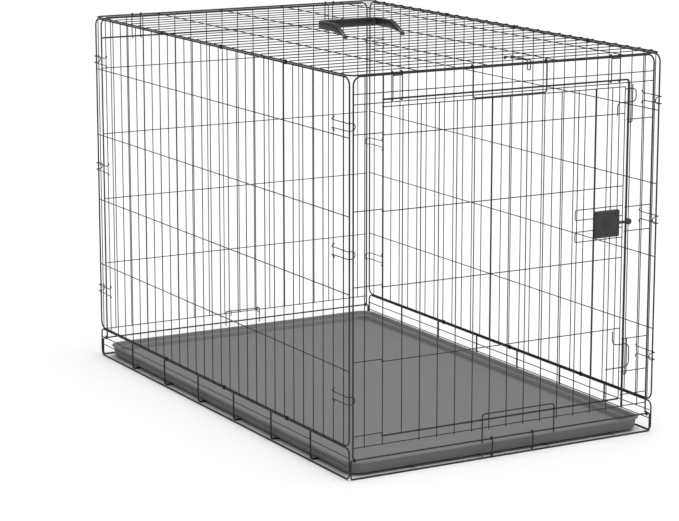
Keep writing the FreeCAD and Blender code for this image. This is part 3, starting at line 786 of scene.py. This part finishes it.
# ---- door -----------------------------------------------------------------------------------------
def build_door():
    body = "door"
    edge_x = high("door_uprights", 0) - THIN
    top_z = high("door_rails", 2) - THIN
    eye = 2 * THIN + GAP
    rail_z = [z - 4 * MM for z in LEFT_RAIL_Z[1:]] + [top_z]
    rails = []
    for z in rail_z:
        start = Vector((HINGE_X, -DOOR_RAIL_Y, z))
        round_hinge = curl(start, -X, -Z, eye, 265)
        rails.append(list(reversed(round_hinge)) + [Vector((edge_x + 0.6 * MM, -DOOR_RAIL_Y, z))])
    wires("door_rail_row", body, "door_rails", opened(*rails), THIN)
    head, foot = high("door_uprights", 2), low("door_uprights", 2)
    rod_z, rod_y = mid("door_bottom_rod", 2), -(DOOR_Y - THIN - BOLD + WELD)
    shared = opened([(across(4), -DOOR_Y, foot), (across(4), -DOOR_Y, head)])
    wires("door_upright_row", body, "door_uprights", shared, THIN, 12, (END_PITCH, 0, 0))
    short = rod_z + 3 * MM
    wires("door_end_uprights", body, "door_uprights", opened(*(
        [(x, -DOOR_Y, short), (x, -DOOR_Y, head)] for x in (across(3), edge_x))), THIN)
    wires("door_foot_rod", body, "door_bottom_rod", opened(
        bar(HINGE_X + eye + THIN, high("door_bottom_rod", 0), rod_y, rod_z)), BOLD)
    ring = hoop((HINGE_X, -HINGE_Y, rod_z), Z, eye)
    wires("door_foot_rod_eye", body, "door_bottom_rod", closed(ring), THIN)
    columns = [across(k) for k in range(3, 16)] + [edge_x]
    welds("door_welds", body, [(x, -DOOR_Y + THIN, z) for x in columns for z in (*rail_z, rod_z)],
          (THIN, THIN * 0.5, THIN))
    guard_y = mid("door_foot_guard", 1)
    a, b = low("door_foot_guard", 0) + GUARD, high("door_foot_guard", 0) - GUARD
    top, bottom = high("door_foot_guard", 2) - GUARD, low("door_foot_guard", 2)
    wires("door_foot_guard_wire", body, "door_foot_guard", opened(bent(
        [(a, guard_y, bottom), (a, guard_y, top), (b, guard_y, top), (b, guard_y, bottom)], 6 * MM)), GUARD)
    tab_y, x0, nose = mid("door_tabs", 1), edge_x - 20 * MM, high("door_tabs", 0) - HOOK
    upper = [(x0, 17), (x0, 44), (nose, 44), (nose, 72), (edge_x, 72)]
    lower = [(x0, 99), (x0, 69), (nose - 3 * MM, 69), (nose - 3 * MM, 18), (x0 - 16 * MM, 18)]
    upper = bent([(x, tab_y, KEEPER_HIGH + rise * MM) for x, rise in upper], 9 * MM)
    lower = bent([(x, tab_y, KEEPER_LOW + rise * MM) for x, rise in lower], 12 * MM)
    wires("door_tab_wires", body, "door_tabs", opened(upper, lower), HOOK)
    pin_y = mid("latch_guide_wires", 1)
    pin_x, pin_end = low("latch_guide_wires", 0) + THIN, high("latch_guide_wires", 0)
    wires("latch_guide_loops", body, "latch_guide_wires", opened(*(bent(
        [(pin_end, pin_y, z + h), (pin_x, pin_y, z + h), (pin_x, pin_y, z - h), (pin_end, pin_y, z - h)],
        4 * MM)
        for z, h in ((PLATE_Z + 24.2 * MM, 10.8 * MM), (PLATE_Z - 22.3 * MM, 10.8 * MM)))), THIN)


def plate_ring(node, inset, y, corner):
    """A ring of the latch plate's outline, drawn in from its edge, at depth y."""
    a, b = half(node, 0) - inset, half(node, 2) - inset
    outline = rounded(a, b, max(corner - inset, MM), 5)
    return [Vector((mid(node, 0) + u, y, mid(node, 2) + v)) for u, v in outline]


def build_latch():
    node = "latch_plate"
    back, face = high(node, 1), low(node, 1)
    corner = bpy.context.scene.crate_fittings.corner
    steps = [(1.0 * MM, back), (0, back - 0.8 * MM), (0, face + 1.9 * MM), (0.35 * MM, face + 1.1 * MM),
             (0.9 * MM, face + 0.5 * MM), (1.9 * MM, face + 0.1 * MM), (2.9 * MM, face), (4.6 * MM, face),
             (5.0 * MM, face + 0.25 * MM), (5.3 * MM, face + 0.95 * MM), (6.0 * MM, face + 1.1 * MM),
             (24 * MM, face + 1.1 * MM)]
    shell = lofted("shell", [plate_ring(node, inset, y, corner) for inset, y in steps], "latch_plastic", 50)
    bolt_z = mid(node, 2)
    neck = half("latch_bolt", 2) * 0.46 + GAP
    cutter = lofted("cutter", [[Vector((x, y, z)) for y, z in ((back - 1.2 * MM, bolt_z - neck),
                                                               (back - 5.3 * MM, bolt_z - neck),
                                                               (back - 5.3 * MM, bolt_z + neck),
                                                               (back - 1.2 * MM, bolt_z + neck))]
                               for x in (high(node, 0) - 44 * MM, high(node, 0) + 5 * MM)], "latch_plastic")
    cut = shell.modifiers.new("cut", "BOOLEAN")
    cut.object, cut.operation, cut.solver = cutter, "DIFFERENCE", "EXACT"
    plain = bpy.data.meshes.new_from_object(shell.evaluated_get(bpy.context.evaluated_depsgraph_get()))
    shell.modifiers.clear()
    shell.data = plain
    bpy.data.objects.remove(cutter)
    parts = [shell]
    a, b = half(node, 0) - 9.5 * MM, half(node, 2) - 9.5 * MM
    for sx in (-1, 1):
        for sz in (-1, 1):
            centre = Vector((mid(node, 0) + sx * a, face + 1.1 * MM, bolt_z + sz * b))
            parts.append(lofted("rivet", dome(centre, -Y, 2.3 * MM, 0.95 * MM), "latch_plastic", 60))
    for i in range(5):
        centre = Vector((mid(node, 0) - 2 * MM, face + 1.1 * MM, bolt_z + (i - 2) * 4.4 * MM))
        parts.append(lofted("rib", rib_rings(centre, 11 * MM, 1.1 * MM, 0.75 * MM), "latch_plastic", 50))
    settle(joined("latch_plate_moulding", parts), "door", "latch_plastic", node)


def dome(centre, out, radius, height):
    """Rings of a low round head."""
    side = X if abs(out.x) < 0.5 else Z
    up = out.cross(side)
    rings = []
    for share, lift in ((1.0, -0.4), (1.0, 0.25), (0.88, 0.62), (0.62, 0.88), (0.25, 1.0)):
        ring = []
        for i in range(20):
            turn = math.tau * i / 20
            spoke = side * math.cos(turn) + up * math.sin(turn)
            ring.append(centre + out * height * lift + spoke * radius * share)
        rings.append(ring)
    return rings


def rib_rings(centre, half_x, half_z, height):
    rings = []
    for inset, lift in ((0, -0.4), (0, 0.4), (0.35 * MM, 0.85), (0.7 * MM, 1.0)):
        rings.append([centre + Vector((u, -height * lift, v))
                      for u, v in rounded(half_x - inset, half_z - inset, 1.0 * MM, 4)])
    return rings


def build_bolt():
    node = "latch_bolt"
    plate = "latch_plate"
    right, z = high(node, 0), mid(node, 2)
    radius = half(node, 2)
    centre_x = right - radius
    back, face = high(node, 1), low(node, 1)
    count, rings = 48, []
    for share, y in ((0.86, back), (1.0, back - 0.9 * MM), (1.0, face + 1.4 * MM), (0.93, face + 0.5 * MM),
                     (0.80, face + 0.05 * MM), (0.55, face + 0.25 * MM), (0.20, face + 0.55 * MM)):
        ring = []
        for i in range(count):
            turn = math.tau * i / count
            grip = 1.0 - (0.035 if share > 0.9 and i % 4 < 2 else 0.0)
            ring.append(Vector((centre_x + radius * share * grip * math.cos(turn), y,
                                z + radius * share * grip * math.sin(turn))))
        rings.append(ring)
    knob = lofted("knob", rings, "latch_plastic", 30)
    y_mid = (high(plate, 1) + low(plate, 1)) / 2
    neck_rings = []
    start, end = low(node, 0), centre_x - radius
    for x, grow in ((start, -0.4 * MM), (start + 0.5 * MM, 0), (end + 1.0 * MM, 0),
                    (end + 3.0 * MM, 0.6 * MM)):
        neck_rings.append([Vector((x, y_mid + u, z + v)) for u, v in rounded(1.7 * MM + grow, 3.0 * MM + grow,
                                                                             0.8 * MM, 4)])
    settle(joined("latch_bolt_knob", [knob, lofted("neck", neck_rings, "latch_plastic", 40)]), "bolt",
           "latch_plastic", node)


# ---- clips, bail and hook -------------------------------------------------------------------------
def corner_clip(z):
    """A spring clip at the right front corner as one wire from curl to curl."""
    legs_x = WIDTH / 2 - CLIP
    pivot_y = low("right_uprights", 1) + THIN + SIDE_PITCH
    hook_y = -(END_Y + BORDER + GAP + CLIP)
    reach, spread_z, bow = SIDE_X + BORDER - 13 * MM, 8 * MM, 7.6 * MM
    ends = []
    for sign in (1, -1):
        near, far = z + sign * bow, z + sign * spread_z
        leg = bent([(reach + bow, hook_y, near), (legs_x, hook_y, near), (legs_x, pivot_y - 12 * MM, far),
                    (legs_x, pivot_y, far)], 2.2 * MM)
        ends.append(leg + curl(leg[-1], Y, Z, THIN + GAP + CLIP, 250, sign * 7 * MM)[1:])
    nose = curl(ends[0][0], -X, -Y, bow, 180)
    return opened(list(reversed(ends[0])) + nose[1:-1] + ends[1])


def top_clip(x, half_width):
    curl_r = BORDER + GAP + HOOK
    leg_y, tail_z = -TOP_END_Y - curl_r, LINTEL_Z - BOLD - GAP - HOOK
    paths = []
    for sign in (-1, 1):
        at = x + sign * half_width
        leg = bent([(at, leg_y, TOP_Z), (at, leg_y, tail_z), (at, -(HINGE_Y + THIN + GAP), tail_z)], 2.2 * MM)
        paths.append(list(reversed(curl(leg[0], Z, -X, curl_r, 250)))[:-1] + leg)
    brace_z, brace_half = TOP_Z - 5 * MM, half_width - HOOK
    paths.append([(x - brace_half, leg_y, brace_z), (x + brace_half, leg_y, brace_z)])
    return opened(*paths)


def build_clips():
    for end in ("front", "rear"):
        for side in ("left", "right"):
            for level in ("low", "mid", "high"):
                node = "corner_clip_%s_%s_%s" % (end, side, level)
                paths = mirrored(corner_clip(mid(node, 2)), side == "left", end == "rear")
                wires(node + "_wire", node, node, paths, CLIP, sides=10)
            node = "top_clip_%s_%s" % (end, side)
            width = half(node, 0) - HOOK
            paths = mirrored(top_clip(mid(node, 0), width), across_y=end == "rear")
            wires(node + "_wire", node, node, paths, HOOK)


def build_bail():
    curl_r = BORDER + GAP + BAIL
    leg_y, foot = -TOP_END_Y - curl_r, low("top_bail", 2) + BAIL
    a, b = low("top_bail", 0) + BAIL, high("top_bail", 0) - BAIL
    span = bent([(a, leg_y, TOP_Z), (a, leg_y, foot), (b, leg_y, foot), (b, leg_y, TOP_Z)], 6 * MM)
    ends = [curl((at, leg_y, TOP_Z), Z, -X, curl_r, 265) for at in (a, b)]
    path = list(reversed(ends[0]))[:-1] + span + ends[1][1:]
    wires("top_bail_wire", "bail", "top_bail", opened(path), BAIL)


def build_centre_hook():
    first = low("top_cross_wires", 1) + THIN
    pivot_y = first + (high("top_cross_wires", 1) - THIN - first) / 27
    curl_r = THIN + GAP + HOOK
    leg_z, nose_y = CROSS_Z + curl_r, -TOP_END_Y - BORDER - GAP - HOOK
    nose_z, x = low("centre_hook", 2) + HOOK + 4 * MM, mid("centre_hook", 0)
    ends = []
    for sign in (1, -1):
        at, tip = x + sign * 8 * MM, x + sign * 4 * MM
        leg = bent([(at, pivot_y, leg_z), (at, pivot_y - 8 * MM, leg_z), (tip, nose_y + 8 * MM, leg_z),
                    (tip, nose_y, leg_z), (tip, nose_y, nose_z)], 2.2 * MM)
        ends.append(list(reversed(curl(leg[0], Y, -X, curl_r, 265)))[:-1] + leg)
    nose = curl(ends[0][-1], -Z, Y, 4 * MM, 180)
    wires("centre_hook_wire", "centre_hook", "centre_hook",
          opened(ends[0] + nose[1:-1] + list(reversed(ends[1]))), HOOK)


def build_tray_clip():
    node = "tray_clip"
    leg_y = high(node, 1) - HOOK
    a, b = low(node, 0) + HOOK, high(node, 0) - HOOK
    foot, head = low(node, 2), SILL_Z + 2 * MM
    wires("tray_clip_wire", node, node, opened(bent(
        [(a, leg_y, foot), (a, leg_y, head), (b, leg_y, head), (b, leg_y, foot)], 3 * MM)), HOOK)
    eye = leg_y - HOOK + 0.05 * MM - END_RAIL_Y - CLIP_EYE
    for label, x in (("left", a + 8 * MM), ("right", b - 8 * MM)):
        ring = hoop((x, END_RAIL_Y, SILL_Z), X, eye)
        wires("tray_clip_eye_" + label, node, node, closed(ring), CLIP_EYE)


# ---- tray -----------------------------------------------------------------------------------------
def tray_profile(z0, z1, wall):
    """(inset from the rim's edge, height, corner share) from under the floor, round the rim, to the floor."""
    floor = z0 + wall
    return [
        (60 * MM, z0 + 0.6 * MM, 0.2), (12 * MM, z0 + 0.6 * MM, 0.75), (10.5 * MM, z0, 0.8),
        (8.5 * MM, z0, 0.85), (7.2 * MM, z0 + 0.5 * MM, 0.9), (6.4 * MM, z0 + 1.8 * MM, 0.92),
        (3.9 * MM, z1 - 3.4 * MM, 0.95), (3.4 * MM, z1 - 2.9 * MM, 0.95), (0.9 * MM, z1 - 2.6 * MM, 1.0),
        (0.25 * MM, z1 - 2.2 * MM, 1.0), (0, z1 - 1.4 * MM, 1.0), (0.3 * MM, z1 - 0.5 * MM, 1.0),
        (1.1 * MM, z1 - 0.1 * MM, 1.0), (2.2 * MM, z1, 1.0), (5.0 * MM, z1, 0.98),
        (6.4 * MM, z1 - 0.5 * MM, 0.96), (7.4 * MM, z1 - 1.6 * MM, 0.95), (9.6 * MM, z1 - 7.6 * MM, 0.9),
        (10.6 * MM, z1 - 8.8 * MM, 0.88), (12.0 * MM, z1 - 9.2 * MM, 0.86), (14.6 * MM, z1 - 9.4 * MM, 0.82),
        (16.0 * MM, z1 - 10.2 * MM, 0.8), (18.0 * MM, floor + 3 * MM, 0.74),
        (19.4 * MM, floor + 1.0 * MM, 0.7), (22.0 * MM, floor + 0.1 * MM, 0.64), (26 * MM, floor, 0.6),
        (44 * MM, floor, 0.5), (46 * MM, floor + 0.5 * MM, 0.5), (50 * MM, floor + 0.5 * MM, 0.48),
        (52 * MM, floor, 0.45), (70 * MM, floor, 0.3),
    ]


def build_tray():
    look = bpy.context.scene.crate_tray
    node = "tray"
    hx, hy = half(node, 0), half(node, 1)
    rings = []
    for inset, z, share in tray_profile(low(node, 2), high(node, 2), look.wall):
        corner = max(look.corner * share, 2 * MM)
        rings.append([Vector((a, b, z)) for a, b in rounded(hx - inset, hy - inset, corner, 10)])
    settle(lofted("tray_pan", rings, "tray_plastic", 48), "tray", "tray_plastic", node)


# ---- handle ---------------------------------------------------------------------------------------
def handle_station(x, y, heading, wide, z0, z1):
    """A rounded section of the handle, square to its heading."""
    side = Vector((heading.y, -heading.x, 0))
    centre = Vector((x, y, (z0 + z1) / 2))
    outline = rounded(wide, (z1 - z0) / 2, min(2.4 * MM, (z1 - z0) * 0.4), 5)
    return [centre + side * u + Z * v for u, v in outline]


def build_handle():
    arms, grip, eyes = "handle_arms", "handle_grip", "handle_eyes"
    left, right = low(arms, 0) + 4.5 * MM, high(arms, 0) - 4.5 * MM
    start_y, grip_y = low(arms, 1), mid(grip, 1)
    z0, z1 = low(arms, 2), low(grip, 2)
    t0, t1 = low(arms, 2) + 2.1 * MM, high(grip, 2)
    bend = 13 * MM
    middle = (left + right) / 2
    corner = Vector((left, grip_y - bend, 0))
    path = [Vector((left, start_y + (grip_y - bend - start_y) * i / 9, 0)) for i in range(9)]
    path += arc(corner + X * bend, -Z, corner, 90, 8)
    path += [Vector((left + bend + (middle - left - bend) * i / 6, grip_y, 0)) for i in range(1, 6)]
    mirror = [Vector((2 * middle - p.x, p.y, 0)) for p in reversed(path)]
    path += [Vector((middle, grip_y, 0))] + mirror
    rings = []
    for i, p in enumerate(path):
        heading = (path[min(i + 1, len(path) - 1)] - path[max(i - 1, 0)]).normalized()
        share = min(1.0, max(0.0, (p.y - start_y) / (grip_y - bend - start_y)))
        climb = min(1.0, share / 0.42)
        ease = climb * climb * (3 - 2 * climb)
        wide = 4.3 * MM + 1.5 * MM * ease
        under, over = z0 + (z1 - z0) * ease, t0 + (t1 - t0) * climb ** 0.7
        rings.append(handle_station(p.x, p.y, heading, wide, under, over))
    parts = [lofted("strap", rings, "handle_plastic", 50)]
    for i in range(9):
        x = middle + (i - 4) * 11 * MM
        ring_set = []
        for dx, grow in ((-2.2 * MM, 0.0), (-1.4 * MM, 0.55 * MM), (1.4 * MM, 0.55 * MM), (2.2 * MM, 0.0)):
            ring_set.append(handle_station(x + dx, grip_y, X, 5.75 * MM + grow, z1 - grow * 0.9, t1 - 2 * MM))
        parts.append(lofted("finger_rib", ring_set, "handle_plastic", 50))
    settle(joined("handle_strap", parts), "handle", "handle_plastic", arms, grip)
    barrels = []
    outer, bore = half(eyes, 2), THIN + GAP
    pivot_y = mid(eyes, 1)
    for x in (left, right):
        profile = ((bore, -4.5), (outer - 0.5 * MM, -4.5), (outer, -4.0), (outer, 4.0),
                   (outer - 0.5 * MM, 4.5), (bore, 4.5))
        rings = []
        for i in range(32):
            turn = math.tau * i / 32
            rings.append([Vector((x + dx * MM, pivot_y + r * math.cos(turn), CROSS_Z + r * math.sin(turn)))
                          for r, dx in profile])
        barrels.append(lofted("barrel", rings, "handle_plastic", 35, join_ends=True))
    settle(joined("handle_pivot_barrels", barrels), "handle", "handle_plastic", eyes)


# ---- stage ----------------------------------------------------------------------------------------
def build_stage():
    look = bpy.context.scene.crate_stage
    size = 14.0
    mesh = bpy.data.meshes.new("studio_floor")
    corners = [(-size, -size, 0), (size, -size, 0), (size, size, 0), (-size, size, 0)]
    mesh.from_pydata(corners, [], [(0, 1, 2, 3)])
    mesh.materials.append(material("stage_floor"))
    floor = bpy.data.objects.new("studio_floor", mesh)
    bpy.context.collection.objects.link(floor)
    floor.location.z = -0.0004
    world = bpy.data.worlds.new("studio_sky")
    world.use_nodes = True
    world.node_tree.nodes["Background"].inputs[0].default_value = (1, 1, 1, 1)
    world.node_tree.nodes["Background"].inputs[1].default_value = look.sky
    bpy.context.scene.world = world
    for name, lean, turn, power, spread in (("high_sun", 8, 35, 2.9, 60), ("front_sun", 52, -12, 0.25, 40)):
        lamp = bpy.data.lights.new(name, "SUN")
        lamp.energy, lamp.angle = power, math.radians(spread)
        holder = bpy.data.objects.new(name, lamp)
        holder.location = (0, 0, 3)
        holder.rotation_euler = (math.radians(lean), 0, math.radians(turn))
        bpy.context.collection.objects.link(holder)
    aim = Vector((-0.0509, 0.0076, 0.3088))
    back = Vector((math.sin(look.azimuth) * math.cos(look.elevation),
                   -math.cos(look.azimuth) * math.cos(look.elevation),
                   math.sin(look.elevation)))
    camera = bpy.data.objects.new("camera", bpy.data.cameras.new("camera"))
    camera.data.lens, camera.data.sensor_width = look.lens, 36.0
    camera.data.clip_end = 60.0
    camera.location = aim + back * look.distance
    camera.rotation_euler = (-back).to_track_quat("-Z", "Y").to_euler()
    bpy.context.collection.objects.link(camera)
    bpy.context.scene.camera = camera
    bpy.context.scene.view_settings.view_transform = "Standard"


# ---- operators and panel --------------------------------------------------------------------------
class BuildBase(bpy.types.Operator):
    """Base loops, cross wires, lips and ties"""
    bl_idname = "crate.base"
    bl_label = "Base wires"

    def execute(self, context):
        build_base()
        return {"FINISHED"}


class BuildSides(bpy.types.Operator):
    """Left and right wire panels with their welds"""
    bl_idname = "crate.sides"
    bl_label = "Side panels"

    def execute(self, context):
        build_sides()
        return {"FINISHED"}


class BuildTop(bpy.types.Operator):
    """Top wire panel and the hinge bands along it"""
    bl_idname = "crate.top"
    bl_label = "Top panel and hinge bands"

    def execute(self, context):
        build_top()
        build_straps()
        return {"FINISHED"}


class BuildEnds(bpy.types.Operator):
    """Front and rear panels that fold inwards"""
    bl_idname = "crate.ends"
    bl_label = "End panels"

    def execute(self, context):
        build_front()
        build_rear()
        return {"FINISHED"}


class BuildDoor(bpy.types.Operator):
    """Door grille, foot guard and tabs"""
    bl_idname = "crate.door"
    bl_label = "Door"

    def execute(self, context):
        build_door()
        return {"FINISHED"}


class BuildLatch(bpy.types.Operator):
    """Moulded latch plate and its sliding bolt"""
    bl_idname = "crate.latch"
    bl_label = "Latch"

    def execute(self, context):
        build_latch()
        build_bolt()
        return {"FINISHED"}


class BuildClips(bpy.types.Operator):
    """Corner clips and top clips"""
    bl_idname = "crate.clips"
    bl_label = "Clips"

    def execute(self, context):
        build_clips()
        return {"FINISHED"}


class BuildHooks(bpy.types.Operator):
    """Top bail, centre hook and tray clip"""
    bl_idname = "crate.hooks"
    bl_label = "Bail, hook and tray clip"

    def execute(self, context):
        build_bail()
        build_centre_hook()
        build_tray_clip()
        return {"FINISHED"}


class BuildTray(bpy.types.Operator):
    """Moulded floor tray"""
    bl_idname = "crate.tray"
    bl_label = "Tray"

    def execute(self, context):
        build_tray()
        return {"FINISHED"}


class BuildHandle(bpy.types.Operator):
    """Moulded carry handle"""
    bl_idname = "crate.handle"
    bl_label = "Handle"

    def execute(self, context):
        build_handle()
        return {"FINISHED"}


class BuildStage(bpy.types.Operator):
    """Floor, lights and camera"""
    bl_idname = "crate.stage"
    bl_label = "Stage"

    def execute(self, context):
        build_stage()
        return {"FINISHED"}


BUILDERS = (BuildBase, BuildSides, BuildTop, BuildEnds, BuildDoor, BuildLatch, BuildClips, BuildHooks,
            BuildTray, BuildHandle, BuildStage)
GROUPS = (("crate_wires", WireLook), ("crate_tray", TrayLook), ("crate_fittings", FittingLook),
          ("crate_stage", StageLook))


class CratePanel(bpy.types.Panel):
    """The crate's settings and builders"""
    bl_idname = "VIEW3D_PT_crate"
    bl_label = "Wire crate"
    bl_space_type = "VIEW_3D"
    bl_region_type = "UI"
    bl_category = "Crate"

    def draw(self, context):
        for name, group in GROUPS:
            box = self.layout.box()
            for prop in group.__annotations__:
                box.prop(getattr(context.scene, name), prop)
        for builder in BUILDERS:
            self.layout.operator(builder.bl_idname)


def register():
    for name, group in GROUPS:
        bpy.utils.register_class(group)
        setattr(bpy.types.Scene, name, PointerProperty(type=group))
    for cls in (*BUILDERS, CratePanel):
        bpy.utils.register_class(cls)


def unregister():
    for cls in reversed((*BUILDERS, CratePanel)):
        bpy.utils.unregister_class(cls)
    for name, group in reversed(GROUPS):
        delattr(bpy.types.Scene, name)
        bpy.utils.unregister_class(group)


def main():
    register()
    for builder in BUILDERS:
        getattr(bpy.ops.crate, builder.bl_idname.split(".")[1])()


if __name__ == "__main__":
    main()
